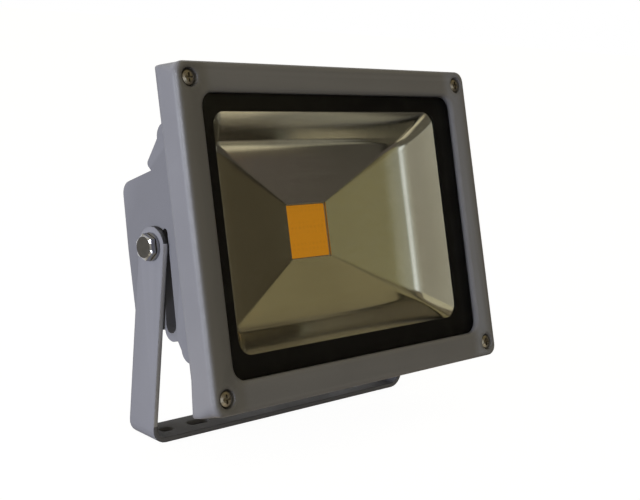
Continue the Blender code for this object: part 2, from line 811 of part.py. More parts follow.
def addRearCover():
    middle = (coverTop + coverBottom) / 2
    half = (coverTop - coverBottom) / 2
    outline = [(x, z + middle) for x, z in roundedRectangle(coverHalfWidth, half, coverCorner)]
    cover = pieceFromLoops("rear_cover", alongDepth(outline, coverFront, boxRear), greyPaint)
    places = []
    for across in (-coverScrewAcross, coverScrewAcross):
        places += [(across, -coverScrewHeight), (across, coverScrewHeight)]
    hole = smallScrewRadius + gap
    combine(cover, [roundHole(x, z, hole, coverFront - 2, boxRear + 2) for x, z in places])
    sealMiddle = (chamberTop + chamberBottom) / 2
    sealHalf = (chamberTop - chamberBottom) / 2 + gap
    loops = []
    for grow, depth in ((0, 0), (1, 0), (1, 1), (0, 1)):
        reach = grow * coverSealWidth
        halfWidth = chamberHalfWidth + gap + reach
        outline = roundedRectangle(halfWidth, sealHalf + reach, coverSealCorner + reach)
        place = coverSealFront + depth * coverSealThickness
        loops.append([headPoint(x, place, z + sealMiddle) for x, z in outline])
    pieceFromLoops("cover_seal", loops, blackRubber, ring=True)
    seat = boxRear + gap
    reach = seat - boxWallBack + coverScrewReach
    sizes = (smallScrewRadius, reach, smallScrewHead, smallScrewHeadHeight)
    for number, (across, height) in enumerate(places, 1):
        facingScrew("cover_screw_" + str(number), across, height, seat, stainless, False, sizes)


def addDriver():
    low = driverFront
    foot = driverFront + driverFootThickness
    back = driverFront + driverDepth
    outline = [
        (driverLeft - driverFoot, low),
        (driverRight + driverFoot, low),
        (driverRight + driverFoot, foot),
        (driverRight, foot),
        (driverRight, back - driverEdge),
        (driverRight - driverEdge, back),
        (driverLeft + driverEdge, back),
        (driverLeft, back - driverEdge),
        (driverLeft, foot),
        (driverLeft - driverFoot, foot),
    ]
    case = alongHeight(outline, -driverHeight / 2, driverHeight / 2)
    driver = pieceFromLoops("led_driver", case, driverMetal)
    places = (driverLeft - driverFoot / 2, driverRight + driverFoot / 2)
    hole = smallScrewRadius + gap
    combine(driver, [roundHole(x, 0.0, hole, low - 2, foot + 2) for x in places])
    seat = foot + gap
    sizes = (smallScrewRadius, seat - floorBack + wall - gap, smallScrewHead, smallScrewHeadHeight)
    for number, across in enumerate(places, 1):
        facingScrew("driver_screw_" + str(number), across, 0.0, seat, stainless, False, sizes)


def addLeads():
    # Each lamp lead runs from a pad on the LED plate, through the floor, to the driver's end
    top = chipFront - gap - leadRadius
    corner = math.radians(90)
    for name, paint, side in (("lamp_lead_red", redSleeve, 1), ("lamp_lead_black", blackSleeve, -1)):
        height = side * leadSpacing / 2
        path = [headPoint(-chipSize / 2 + leadOnChip, top, height)]
        for step in range(6):
            angle = corner * step / 5
            path.append(headPoint(leadPlace + leadBend - leadBend * math.sin(angle),
                                  top + leadBend - leadBend * math.cos(angle), height))
        for step in range(6):
            angle = corner * step / 5
            path.append(headPoint(leadPlace + leadBend - leadBend * math.cos(angle),
                                  leadRun - leadBend + leadBend * math.sin(angle), height))
        path.append(headPoint(driverLeft - gap, leadRun, height))
        tube(name, path, leadRadius, paint)
    supply = (("supply_lead_brown", brownSleeve, 1), ("supply_lead_blue", blueSleeve, -1))
    for name, paint, side in supply:
        height = side * supplySpacing / 2
        ends = (blockRight + gap, driverLeft - gap)
        tube(name, [headPoint(across, supplyRun, height) for across in ends], supplyRadius, paint)


def addTerminals():
    low = driverFront
    top = driverFront + blockDepth
    outline = [
        (blockLeft, low),
        (blockRight, low),
        (blockRight, top - driverEdge),
        (blockRight - driverEdge, top),
        (blockLeft + driverEdge, top),
        (blockLeft, top - driverEdge),
    ]
    case = alongHeight(outline, -blockHeight / 2, blockHeight / 2)
    block = pieceFromLoops("terminal_block", case, blackNylon)
    places = (-supplySpacing / 2, 0.0, supplySpacing / 2)
    front = top - blockScrewSunk
    hole = blockScrewRadius + gap
    combine(block, [roundHole(blockMiddle, height, hole, front, top + 1) for height in places])
    for number, height in enumerate(places, 1):
        ends = (front + gap, front + gap + blockScrewHeight)
        screw = roundHole(blockMiddle, height, blockScrewRadius, ends[0], ends[1])
        pieceFromLoops("terminal_screw_" + str(number), screw, brass)
    ringFront = floorBack + gap
    inner = smallScrewRadius + gap
    profile = [
        (0.0, inner),
        (0.0, earthRingRadius),
        (earthRingThickness, earthRingRadius),
        (earthRingThickness, inner),
    ]
    loops = turned(profile, headPoint(blockMiddle, ringFront, earthHeight), "y", smallSides)
    pieceFromLoops("earth_ring", loops, brass, ring=True)
    seat = ringFront + earthRingThickness + gap
    sizes = (smallScrewRadius, seat - floorBack + wall - gap, smallScrewHead, smallScrewHeadHeight)
    facingScrew("earth_screw", blockMiddle, earthHeight, seat, stainless, False, sizes)


def addGland():
    # Heights run down from the underside of the rear box
    seat = -boxBottom - gap
    centre = headPoint(glandPlace, glandDepth, 0.0)
    top = chamberBottom + gap + lockNutHeight + glandEnd
    flangeLow = -seat + glandFlangeHeight
    nutTop = flangeLow + gap
    nutLow = nutTop + glandNutHeight
    body = [
        (-top, glandBore),
        (-top, glandThread),
        (-seat, glandThread),
        (-seat, glandFlangeRadius, glandFlats),
        (flangeLow, glandFlangeRadius, glandFlats),
        (flangeLow, glandThread),
        (flangeLow + glandCollar, glandThread),
        (flangeLow + glandCollar, glandBore),
    ]
    pieceFromLoops("cable_gland", turned(body, centre, "-z", 24), blackNylon, ring=True)
    innerRadius = glandThread + gap
    nut = [
        (nutTop, innerRadius),
        (nutTop, glandNutRadius),
        (nutLow - glandCrown, glandNutRadius),
        (nutLow - glandCrown / 3, glandNutRadius * 0.86),
        (nutLow, glandNutRadius * 0.72),
        (nutLow, glandMouth),
        (nutLow - glandCrown / 2, glandMouth),
        (nutLow - glandCrown / 2, innerRadius),
    ]
    pieceFromLoops("gland_nut", turned(nut, centre, "-z", 24), blackNylon, ring=True)
    plugRadius = glandBore - gap
    plug = [(flangeLow, plugRadius), (nutLow - glandCrown / 2 - gap, plugRadius)]
    pieceFromLoops("gland_seal", turned(plug, centre, "-z", 24), blackRubber)
    lockLow = -chamberBottom - gap
    lockTop = lockLow - lockNutHeight
    lock = [
        (lockLow, innerRadius),
        (lockLow, glandFlangeRadius, glandFlats),
        (lockTop, glandFlangeRadius, glandFlats),
        (lockTop, innerRadius),
    ]
    pieceFromLoops("gland_lock_nut", turned(lock, centre, "-z", 24), blackNylon, ring=True)


# Tilt bolts

def addPivotHardware():
    washerSeat = armOuter + gap
    headSeat = washerSeat + washerThickness + gap
    headTop = headSeat + boltHeadHeight
    tip = cheek - boltReach
    corner = boltAcrossFlats / math.sqrt(3)
    bore = boltRadius + gap
    centre = headPoint(0.0, pivotDepth, 0.0)
    washer = [
        (washerSeat, bore),
        (washerSeat, washerRadius),
        (washerSeat + washerThickness, washerRadius),
        (washerSeat + washerThickness, bore),
    ]
    bolt = [
        (tip, boltRadius - boltChamfer),
        (tip + boltChamfer, boltRadius),
        (headSeat, boltRadius),
        (headSeat, corner, boltAcrossFlats),
        (headTop - boltChamfer, corner, boltAcrossFlats),
        (headTop, boltAcrossFlats / 2 - boltChamfer),
    ]
    for name, axis in (("left", "-x"), ("right", "x")):
        pieceFromLoops("washer_" + name, turned(washer, centre, axis), stainless, ring=True)
        pieceFromLoops("tilt_bolt_" + name, turned(bolt, centre, axis, 36), stainless)


addBracket()
addFrame()
addFrameScrews()
addGlassAndSeal()
addReflector()
addHousing(addLightSource())
addRearCover()
addDriver()
addLeads()
addTerminals()
addGland()
addPivotHardware()
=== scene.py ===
# LED floodlight on its bracket, tilted up a little, seen from the front left

import math

import bmesh
import bpy
from mathutils import Matrix, Vector


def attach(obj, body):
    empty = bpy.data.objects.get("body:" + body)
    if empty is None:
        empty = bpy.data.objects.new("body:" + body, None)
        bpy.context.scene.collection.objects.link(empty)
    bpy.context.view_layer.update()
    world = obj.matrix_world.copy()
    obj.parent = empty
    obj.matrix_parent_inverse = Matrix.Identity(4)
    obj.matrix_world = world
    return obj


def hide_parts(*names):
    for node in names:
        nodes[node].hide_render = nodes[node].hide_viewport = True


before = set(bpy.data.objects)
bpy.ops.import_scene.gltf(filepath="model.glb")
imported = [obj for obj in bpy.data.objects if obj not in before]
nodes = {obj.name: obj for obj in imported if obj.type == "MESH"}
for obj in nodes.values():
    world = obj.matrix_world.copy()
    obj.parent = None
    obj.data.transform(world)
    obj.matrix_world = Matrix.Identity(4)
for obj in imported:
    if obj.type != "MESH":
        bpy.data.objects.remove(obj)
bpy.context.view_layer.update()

mm = 0.001
sharpAngle = math.radians(35)  # surfaces that meet at more than this keep a sharp edge
black = (0.0, 0.0, 0.0)
white = (1.0, 1.0, 1.0)
print("frame loaded:", len(nodes), "nodes")


# Shader helpers

made = {}  # materials by name


def newMaterial(name):
    # A material with a Principled shader
    material = made[name] = bpy.data.materials.new(name)
    material.use_nodes = True
    tree = material.node_tree
    return tree, tree.nodes["Principled BSDF"]


def newBareMaterial(name):
    # A material without a shader, and the socket that takes its surface
    tree, shader = newMaterial(name)
    tree.nodes.remove(shader)
    return tree, tree.nodes["Material Output"].inputs["Surface"]


def addNode(tree, kind, **sockets):
    # Spaces in a socket's name are written as underscores
    node = tree.nodes.new(kind)
    for name, value in sockets.items():
        node.inputs[name.replace("_", " ")].default_value = value
    return node


def objectCoordinates(tree):
    return addNode(tree, "ShaderNodeTexCoord").outputs["Object"]


def splitAxes(tree, vector):
    axes = addNode(tree, "ShaderNodeSeparateXYZ")
    tree.links.new(vector, axes.inputs[0])
    return axes.outputs


def addNoise(tree, scale, detail=3.0, roughness=0.5, coordinates=None):
    noise = addNode(tree, "ShaderNodeTexNoise", Scale=scale, Detail=detail, Roughness=roughness)
    tree.links.new(coordinates or objectCoordinates(tree), noise.inputs["Vector"])
    return noise.outputs["Fac"]


def addRamp(tree, value, stops):
    # Stops are (position, colour) or (position, grey)
    ramp = addNode(tree, "ShaderNodeValToRGB")
    elements = ramp.color_ramp.elements
    while len(elements) < len(stops):
        elements.new(0.5)
    for element, (position, colour) in zip(elements, stops):
        element.position = position
        if isinstance(colour, (int, float)):
            colour = (colour, colour, colour)
        element.color = (*colour, 1.0)
    tree.links.new(value, ramp.inputs["Fac"])
    return ramp.outputs["Color"]


def spread(tree, value, first, second, start=0.3, end=0.7):
    # First up to the start, second from the end on; a noise has most of its values between 0.3 and 0.7
    return addRamp(tree, value, ((start, first), (end, second)))


def addBump(tree, shader, height, distance, strength=1.0, below=None):
    # Below is the normal of a bump or bevel that lies under this one
    bump = addNode(tree, "ShaderNodeBump", Strength=strength, Distance=distance)
    tree.links.new(height, bump.inputs["Height"])
    if below:
        tree.links.new(below, bump.inputs["Normal"])
    tree.links.new(bump.outputs["Normal"], shader.inputs["Normal"])
    return bump.outputs["Normal"]


def feed(tree, socket, value):
    # Value is an output of another node, a number or a colour
    if isinstance(value, bpy.types.NodeSocket):
        tree.links.new(value, socket)
    elif isinstance(value, (int, float)):
        socket.default_value = value
    else:
        socket.default_value = (*value, 1.0)


def calculate(tree, operation, first, second=0.0):
    step = addNode(tree, "ShaderNodeMath")
    step.operation = operation
    for socket, value in zip(step.inputs, (first, second)):
        feed(tree, socket, value)
    return step.outputs[0]


def scaled(tree, value, low, high, start=0.0, end=1.0):
    # Start below low, end above high
    share = addNode(tree, "ShaderNodeMapRange", From_Min=low, From_Max=high, To_Min=start, To_Max=end)
    tree.links.new(value, share.inputs["Value"])
    return share.outputs["Result"]


def mixColours(tree, share, first, second):
    mix = addNode(tree, "ShaderNodeMix")
    mix.data_type = "RGBA"
    for index, value in ((0, share), (6, first), (7, second)):
        feed(tree, mix.inputs[index], value)
    return mix.outputs[2]


def mixShaders(tree, share, first, second):
    mix = addNode(tree, "ShaderNodeMixShader")
    for socket, output in zip(mix.inputs, (share, first, second)):
        tree.links.new(output, socket)
    return mix.outputs[0]


def mirrored(tree, path):
    # 1 for what metal mirrors and for what is seen through the pane
    return calculate(tree, "MAXIMUM", path.outputs["Is Glossy Ray"], path.outputs["Is Transmission Ray"])


def bearingOf(tree, axes):
    # Angle to the right of straight ahead, which is along -Y
    return calculate(tree, "ARCTAN2", axes["X"], calculate(tree, "MULTIPLY", axes["Y"], -1.0))


def radians(angles):
    return [math.radians(angle) for angle in angles]


def shade(tint, share):
    # The tint made darker, or lighter by a share over 1
    return tuple(channel * share for channel in tint)


# Grey paint, with the fine pebble and faint cloudiness of sprayed powder

paint = {
    "tint": (0.213, 0.215, 0.245),
    "bracketTint": 0.93,  # share of the tint on the bracket and on the housing
    "housingTint": 0.87,
    "cloud": 0.94,  # share of the tint in the clouds, in the specks and on worn edges
    "speck": 0.9,
    "worn": 1.5,
    "wear": 0.35,  # how much of the worn tint the edges show
    "cloudScale": 26.0,
    "speckScale": 1600.0,
    "roughness": (0.52, 0.64),
    "gloss": 0.12,
    "frameRoughness": (0.32, 0.42),  # the frame is a little glossier than the rest
    "frameGloss": 0.5,
    "roughnessScale": 60.0,
    "pebbleScale": 900.0,
    "pebbleDepth": 0.00003,
    "pebbleStrength": 0.35,
    "bracketRound": 0.0012,  # radius that the paint gives to the bracket's and the frame's edges
    "frameRound": 0.003,
    "armEdgeHighlight": (0.60, 0.61, 0.66),  # painted highlight on the arms' front edges, much lighter than the paint
    "armFrom": 0.008,  # height at which the arms begin
    "armFacing": -0.4,  # Y of the normal, below which a face is a front edge
    "paintedShadeFacing": 0.3,  # Z of the normal, above which painted shade darkens a face under the head
    "paintedShadeReach": 0.12,  # how near the head must be for that
    "paintedShadeOpen": (0.25, 0.7),  # openness at which the painted shade is full, and at which it ends
    "paintedShadeDark": 0.95,
    "dish": 0.5,  # slope of the frame's side bars in their middle, fading to none at both edges
    "dishFrom": 0.0715,
    "dishTo": 0.090,
}


def dishHeight(tree):
    # Height in metres of the slightly hollow face of the frame's side bars
    side = calculate(tree, "ABSOLUTE", splitAxes(tree, objectCoordinates(tree))["X"])
    width = paint["dishTo"] - paint["dishFrom"]
    share = scaled(tree, side, paint["dishFrom"], paint["dishTo"])
    wave = calculate(tree, "SINE", calculate(tree, "MULTIPLY", share, 2 * math.pi))
    wave = calculate(tree, "MULTIPLY", wave, -0.5 / math.pi)
    return calculate(tree, "MULTIPLY", calculate(tree, "ADD", share, wave), 0.5 * paint["dish"] * width)


def armHighlightShare(tree, normal):
    # 1 on the front edges of the bracket's arms, where the painted highlight goes
    front = calculate(tree, "LESS_THAN", normal["Y"], paint["armFacing"])
    height = splitAxes(tree, objectCoordinates(tree))["Z"]
    aboveBase = calculate(tree, "GREATER_THAN", height, paint["armFrom"])
    return calculate(tree, "MULTIPLY", front, aboveBase)


def paintedShadeShare(tree, normal):
    # Painted shade: how far the top of the bracket's base is darkened, by how closely the head hides it
    openness = addNode(tree, "ShaderNodeAmbientOcclusion", Distance=paint["paintedShadeReach"]).outputs["AO"]
    dark = scaled(tree, openness, *paint["paintedShadeOpen"], paint["paintedShadeDark"], 0.0)
    faceUp = calculate(tree, "GREATER_THAN", normal["Z"], paint["paintedShadeFacing"])
    return calculate(tree, "MULTIPLY", dark, faceUp)


def makePaint(name, tint, rounding=0.0, isFrame=False, hasArms=False):
    tree, shader = newMaterial(name)
    noise = addNoise(tree, paint["cloudScale"], 4.0)
    clouds = spread(tree, noise, shade(tint, paint["cloud"]), tint, 0.35, 0.65)
    specks = spread(tree, addNoise(tree, paint["speckScale"], 1.0), 0.0, 1.0, 0.66, 0.72)
    colour = mixColours(tree, specks, clouds, shade(tint, paint["speck"]))
    # Worn where the surface turns sharply
    geometry = addNode(tree, "ShaderNodeNewGeometry")
    edge = spread(tree, geometry.outputs["Pointiness"], 0.0, paint["wear"], 0.53, 0.6)
    colour = mixColours(tree, edge, colour, shade(tint, paint["worn"]))
    if hasArms:
        normal = splitAxes(tree, geometry.outputs["Normal"])
        # Painted highlight: the arms' front edges are given a light colour
        colour = mixColours(tree, armHighlightShare(tree, normal), colour, paint["armEdgeHighlight"])
        # Painted shade: the top of the base is mixed toward black under the head
        colour = mixColours(tree, paintedShadeShare(tree, normal), colour, black)
    tree.links.new(colour, shader.inputs["Base Color"])
    noise = addNoise(tree, paint["roughnessScale"])
    roughness = spread(tree, noise, *paint["frameRoughness" if isFrame else "roughness"])
    tree.links.new(roughness, shader.inputs["Roughness"])
    shader.inputs["Specular IOR Level"].default_value = paint["frameGloss" if isFrame else "gloss"]
    below = None
    if rounding:
        below = addNode(tree, "ShaderNodeBevel", Radius=rounding).outputs["Normal"]
    if isFrame:
        below = addBump(tree, shader, dishHeight(tree), 1.0, 1.0, below)
    pebble = addNoise(tree, paint["pebbleScale"], 2.0, 0.6)
    addBump(tree, shader, pebble, paint["pebbleDepth"], paint["pebbleStrength"], below)


makePaint("framePaint", paint["tint"], paint["frameRound"], isFrame=True)
makePaint("housingPaint", shade(paint["tint"], paint["housingTint"]))
makePaint("bracketPaint", shade(paint["tint"], paint["bracketTint"]), paint["bracketRound"], hasArms=True)


# Black rubber of the window seal, the cover seal and the gland's seal

rubber = {
    "tint": (0.004, 0.004, 0.0045),
    "dust": (0.009, 0.009, 0.0085),
    "dustScale": 120.0,
    "roughness": 0.75,
    "gloss": 0.2,
    "grainScale": 1400.0,
    "grainDepth": 0.00002,
}


def makeRubber():
    tree, shader = newMaterial("blackRubber")
    dust = spread(tree, addNoise(tree, rubber["dustScale"], 5.0), rubber["tint"], rubber["dust"], 0.5, 0.75)
    tree.links.new(dust, shader.inputs["Base Color"])
    shader.inputs["Roughness"].default_value = rubber["roughness"]
    shader.inputs["Specular IOR Level"].default_value = rubber["gloss"]
    addBump(tree, shader, addNoise(tree, rubber["grainScale"], 2.0), rubber["grainDepth"], 0.4)


makeRubber()


# Window glass: lamps shine through it, and a thin coating weakens what it mirrors

glass = {"tint": (0.94, 0.94, 0.92), "bend": 1.5, "mirror": 0.35}


def makeGlass():
    tree, surface = newBareMaterial("windowGlass")
    tint = (*glass["tint"], 1.0)
    bent = addNode(tree, "ShaderNodeBsdfRefraction", Color=tint, Roughness=0.0, IOR=glass["bend"])
    mirror = addNode(tree, "ShaderNodeBsdfAnisotropic", Roughness=0.0)
    edgeOn = addNode(tree, "ShaderNodeFresnel", IOR=glass["bend"])
    share = calculate(tree, "MULTIPLY", edgeOn.outputs[0], glass["mirror"])
    pane = mixShaders(tree, share, bent.outputs[0], mirror.outputs[0])
    clear = addNode(tree, "ShaderNodeBsdfTransparent", Color=tint)
    path = addNode(tree, "ShaderNodeLightPath")
    lighting = calculate(tree, "MAXIMUM", path.outputs["Is Shadow Ray"], path.outputs["Is Diffuse Ray"])
    tree.links.new(mixShaders(tree, lighting, pane, clear.outputs[0]), surface)


makeGlass()


# Reflector sheet: rolled aluminium, dulled and faintly streaked

sheetMetal = {
    "tint": (0.54, 0.53, 0.485),
    "dull": (0.49, 0.475, 0.42),
    "roughness": (0.12, 0.17),
    "metallic": 1.0,
    "streakScale": 420.0,
    "streakStretch": (0.06, 1.0, 1.0),
    "cloudScale": 18.0,
    "dentDepth": 0.0002,
}


def makeSheetMetal():
    tree, shader = newMaterial("reflectorSheet")
    stretch = addNode(tree, "ShaderNodeMapping", Scale=sheetMetal["streakStretch"])
    tree.links.new(objectCoordinates(tree), stretch.inputs["Vector"])
    streaks = addNoise(tree, sheetMetal["streakScale"], 6.0, 0.65, stretch.outputs["Vector"])
    cloud = addNoise(tree, sheetMetal["cloudScale"])
    tree.links.new(spread(tree, cloud, sheetMetal["dull"], sheetMetal["tint"]), shader.inputs["Base Color"])
    tree.links.new(spread(tree, streaks, *sheetMetal["roughness"]), shader.inputs["Roughness"])
    shader.inputs["Metallic"].default_value = sheetMetal["metallic"]
    addBump(tree, shader, cloud, sheetMetal["dentDepth"], 0.15)


makeSheetMetal()


# Light source, switched off: yellow phosphor over rows of dies, in a dam of white resin, with a faint
# painted glow so that the phosphor looks brighter

source = {
    "phosphor": (0.90, 0.36, 0.010),
    "deep": (0.76, 0.28, 0.007),
    "dieSpacing": 0.0024,
    "dieScatter": 0.15,
    "roughness": 0.45,
    # glow is a painted glow of the unlit phosphor
    "glow": 0.265,
    "grainScale": 420.0,
    "grainDepth": 0.00006,
}
resin = {
    "tint": (0.80, 0.76, 0.64),
    "shadow": 0.9,  # share of the tint in the darker clouds
    "toneScale": 300.0,
    "roughness": 0.4,
    "grainScale": 500.0,
    "grainDepth": 0.00004,
}


def makePhosphor():
    tree, shader = newMaterial("yellowPhosphor")
    scale = 1.0 / source["dieSpacing"]
    dies = addNode(tree, "ShaderNodeTexVoronoi", Scale=scale, Randomness=source["dieScatter"])
    tree.links.new(objectCoordinates(tree), dies.inputs["Vector"])
    dots = spread(tree, dies.outputs["Distance"], source["deep"], source["phosphor"], 0.15, 0.45)
    grain = addNoise(tree, source["grainScale"])
    tree.links.new(mixColours(tree, grain, dots, source["phosphor"]), shader.inputs["Base Color"])
    shader.inputs["Roughness"].default_value = source["roughness"]
    # Painted glow: the unlit phosphor emits a little of its own colour
    shader.inputs["Emission Color"].default_value = (*source["phosphor"], 1.0)
    shader.inputs["Emission Strength"].default_value = source["glow"]
    addBump(tree, shader, grain, source["grainDepth"], 0.5)


def makeResin():
    tree, shader = newMaterial("whiteResin")
    tint = resin["tint"]
    colour = spread(tree, addNoise(tree, resin["toneScale"]), shade(tint, resin["shadow"]), tint)
    tree.links.new(colour, shader.inputs["Base Color"])
    shader.inputs["Roughness"].default_value = resin["roughness"]
    addBump(tree, shader, addNoise(tree, resin["grainScale"], 2.0), resin["grainDepth"], 0.4)


makePhosphor()
makeResin()


# Bare metals with fine grain

metals = {
    "platedCopper": {"tint": (0.55, 0.54, 0.50), "roughness": (0.3, 0.42), "scale": 900.0, "metallic": 0.9},
    "stainlessSteel": {"tint": (0.42, 0.415, 0.41), "roughness": (0.22, 0.34), "scale": 1400.0},
    "boltSteel": {"tint": (0.38, 0.38, 0.40), "roughness": (0.15, 0.2), "scale": 500.0, "depth": 0.000002},
    "bronzedSteel": {"tint": (0.34, 0.305, 0.25), "roughness": (0.28, 0.42), "scale": 1400.0},
    "brassTerminal": {"tint": (0.70, 0.50, 0.20), "roughness": (0.28, 0.4), "scale": 900.0},
}
metalShadow = 0.86  # share of the tint in the darker grain


def makeMetal(name, tint, roughness, scale, metallic=1.0, depth=0.00001):
    tree, shader = newMaterial(name)
    grain = addNoise(tree, scale, 4.0, 0.6)
    tree.links.new(spread(tree, grain, shade(tint, metalShadow), tint), shader.inputs["Base Color"])
    tree.links.new(spread(tree, grain, *roughness), shader.inputs["Roughness"])
    shader.inputs["Metallic"].default_value = metallic
    addBump(tree, shader, grain, depth, 0.4)


for name, values in metals.items():
    makeMetal(name, **values)


# Plastics, moulded or drawn, with a slight skin

plastics = {
    "driverCase": {"tint": (0.72, 0.73, 0.74), "roughness": (0.35, 0.45)},
    "blackNylon": {"tint": (0.018, 0.018, 0.02), "roughness": (0.45, 0.6)},
    "redSleeve": {"tint": (0.45, 0.015, 0.015), "roughness": (0.35, 0.45)},
    "blackSleeve": {"tint": (0.018, 0.018, 0.018), "roughness": (0.35, 0.45)},
    "brownSleeve": {"tint": (0.12, 0.045, 0.02), "roughness": (0.35, 0.45)},
    "blueSleeve": {"tint": (0.02, 0.07, 0.38), "roughness": (0.35, 0.45)},
}
skin = {"shadow": 0.88, "toneScale": 45.0, "grainScale": 700.0, "grainDepth": 0.00002}


def makePlastic(name, tint, roughness):
    tree, shader = newMaterial(name)
    tone = addNoise(tree, skin["toneScale"])
    colour = spread(tree, tone, shade(tint, skin["shadow"]), tint, 0.35, 0.65)
    tree.links.new(colour, shader.inputs["Base Color"])
    tree.links.new(spread(tree, tone, *roughness), shader.inputs["Roughness"])
    addBump(tree, shader, addNoise(tree, skin["grainScale"], 2.0), skin["grainDepth"], 0.4)


for name, values in plastics.items():
    makePlastic(name, **values)
print("materials made:", len(bpy.data.materials))


# Which finish each CAD node wears

finishes = {
    "framePaint": ("front_frame",),
    "housingPaint": ("rear_housing", "rear_cover"),
    "bracketPaint": ("mounting_bracket",),
    "windowGlass": ("front_glass",),
    "blackRubber": ("glass_seal", "cover_seal", "gland_seal"),
    "reflectorSheet": ("reflector",),
    "yellowPhosphor": ("led_emitter",),
    "whiteResin": ("emitter_dam",),
    "platedCopper": ("led_base_plate",),
    "driverCase": ("led_driver",),
    "redSleeve": ("lamp_lead_red",),
    "blackSleeve": ("lamp_lead_black",),
    "brownSleeve": ("supply_lead_brown",),
    "blueSleeve": ("supply_lead_blue",),
    "blackNylon": ("terminal_block", "cable_gland", "gland_nut", "gland_lock_nut"),
    "brassTerminal": ("terminal_screw_1", "terminal_screw_2", "terminal_screw_3", "earth_ring"),
    "boltSteel": ("tilt_bolt_left", "tilt_bolt_right", "washer_left", "washer_right"),
    "bronzedSteel": ("frame_screw_bottom_left", "frame_screw_top_left",
                     "frame_screw_bottom_right", "frame_screw_top_right"),
}
otherScrews = "stainlessSteel"  # the small screws that aren't named above
finishOf = {name: finish for finish, names in finishes.items() for name in names}
for name, node in nodes.items():
    node.data.materials.clear()
    node.data.materials.append(made[finishOf.get(name, otherScrews)])
print("nodes dressed:", len(nodes))


# Reflector: rolled sheet, with round folds and panels that bow a little

reflector = {
    "rim": (70.0, 50.9, 6.8, 8.5),  # half width, half height, corner radius, depth behind the face
    "fold": (60.0, 39.0, 4.5, 21.6),
    "mouth": (12.6, 12.6, 0.6, 30.9),
    "flange": 2.7,
    "thickness": 0.6,
    "backSpread": 0.4,  # share of the thickness by which the back stands out to the side
    "rimRound": 0.4,
    "foldReach": (0.14, 0.07),  # how far the round fold takes up the wall and the panel
    "bow": 0.35,
    "lead": (0.26, 0.80),  # share of the panel that turns up early towards the fold, and by how much
    "leadFrom": 4.0,  # full at this depth below the rim
    "rimSteps": 4,
    "wallSteps": 4,
    "foldSteps": 12,
    "panelSteps": 24,
    "cornerSteps": 8,
}
head = {"tilt": math.radians(15.9), "pivotDepth": 42.1, "pivotHeight": 84.5}


def headPoint(across, depth, height):
    # From the head's own axes, in millimetres, to the scene
    back = depth - head["pivotDepth"]
    lean, rise = math.sin(head["tilt"]), math.cos(head["tilt"])
    up = -back * lean + height * rise + head["pivotHeight"]
    return Vector((across, back * rise + height * lean, up)) * mm


def roundedOutline(halfWidth, halfHeight, radius, steps):
    points = []
    for quarter, (side, up) in enumerate(((1, 1), (-1, 1), (-1, -1), (1, -1))):
        for step in range(steps + 1):
            angle = math.radians(90.0 * (quarter + step / steps))
            points.append((side * (halfWidth - radius) + radius * math.cos(angle),
                           up * (halfHeight - radius) + radius * math.sin(angle)))
    return points


def between(first, second, share):
    return tuple(a + (b - a) * share for a, b in zip(first, second))


def roundFold(first, corner, last, steps):
    # Sections on a curve that leaves the first towards the corner and comes to the last from it
    shares = [step / steps for step in range(steps + 1)]
    return [between(between(first, corner, share), between(corner, last, share), share) for share in shares]


def bowed(section):
    # The section with its depth changed by the panel's bow and by its early turn towards the fold
    fold, mouth = reflector["fold"], reflector["mouth"]
    reach, rise = reflector["lead"]
    *outline, depth = section
    share = (fold[0] - section[0]) / (fold[0] - mouth[0])
    if share > 0:
        depth += reflector["bow"] * math.sin(math.pi * share)
    if share < reach:
        fade = min(1, (depth - reflector["rim"][3]) / reflector["leadFrom"])
        depth -= rise * (1 - max(share, 0) / reach) ** 2 * fade
    return (*outline, depth)


def reflectorSections():
    # From the rim down the wall, round the fold and on to the mouth
    rim, fold, mouth = reflector["rim"], reflector["fold"], reflector["mouth"]
    onWall, onPanel = reflector["foldReach"]
    start, end = between(fold, rim, onWall), between(fold, mouth, onPanel)
    width, height, radius, depth = rim
    turn = reflector["rimRound"]
    low = between(rim, start, turn / (start[3] - depth))
    lip = (width + turn, height + turn, radius + turn, depth)
    wallSteps, panelSteps = reflector["wallSteps"], reflector["panelSteps"]
    sections = roundFold(lip, rim, low, reflector["rimSteps"])
    sections += [between(low, start, step / wallSteps) for step in range(1, wallSteps)]
    sections += roundFold(start, fold, end, reflector["foldSteps"])
    sections += [between(end, mouth, step / panelSteps) for step in range(1, panelSteps + 1)]
    return [bowed(section) for section in sections]


def reflectorLayers():
    # The sections of the face from the flange to the mouth, then those of the back
    width, height, radius, depth = reflector["rim"]
    lap = reflector["flange"]
    thickness = reflector["thickness"]
    out = thickness * reflector["backSpread"]
    flange = (width + lap, height + lap, radius + lap, depth)
    face = [flange] + reflectorSections()
    back = [(w + out, h + out, r, d + thickness) for w, h, r, d in reversed(face)]
    back[0] = (*face[-1][:3], face[-1][3] + thickness)
    back[-1] = (*flange[:3], depth + thickness)
    return face + back


def addReflector():
    solid = bmesh.new()
    rows = []
    for halfWidth, halfHeight, corner, behind in reflectorLayers():
        outline = roundedOutline(halfWidth, halfHeight, corner, reflector["cornerSteps"])
        rows.append([solid.verts.new(headPoint(across, behind, up)) for across, up in outline])
    count = len(rows[0])
    for row, lower in enumerate(rows):
        upper = rows[(row + 1) % len(rows)]
        for step in range(count):
            after = (step + 1) % count
            solid.faces.new((lower[step], lower[after], upper[after], upper[step]))
    bmesh.ops.recalc_face_normals(solid, faces=solid.faces)
    mesh = bpy.data.meshes.new("rolledReflector")
    solid.to_mesh(mesh)
    solid.free()
    mesh.shade_smooth()
    mesh.set_sharp_from_angle(angle=sharpAngle)
    mesh.materials.append(made["reflectorSheet"])
    piece = bpy.data.objects.new("rolledReflector", mesh)
    bpy.context.scene.collection.objects.link(piece)
    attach(piece, "head")
    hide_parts("reflector")


addReflector()
print("reflector made")


# Rounded edges, so that they catch the light: widths in millimetres

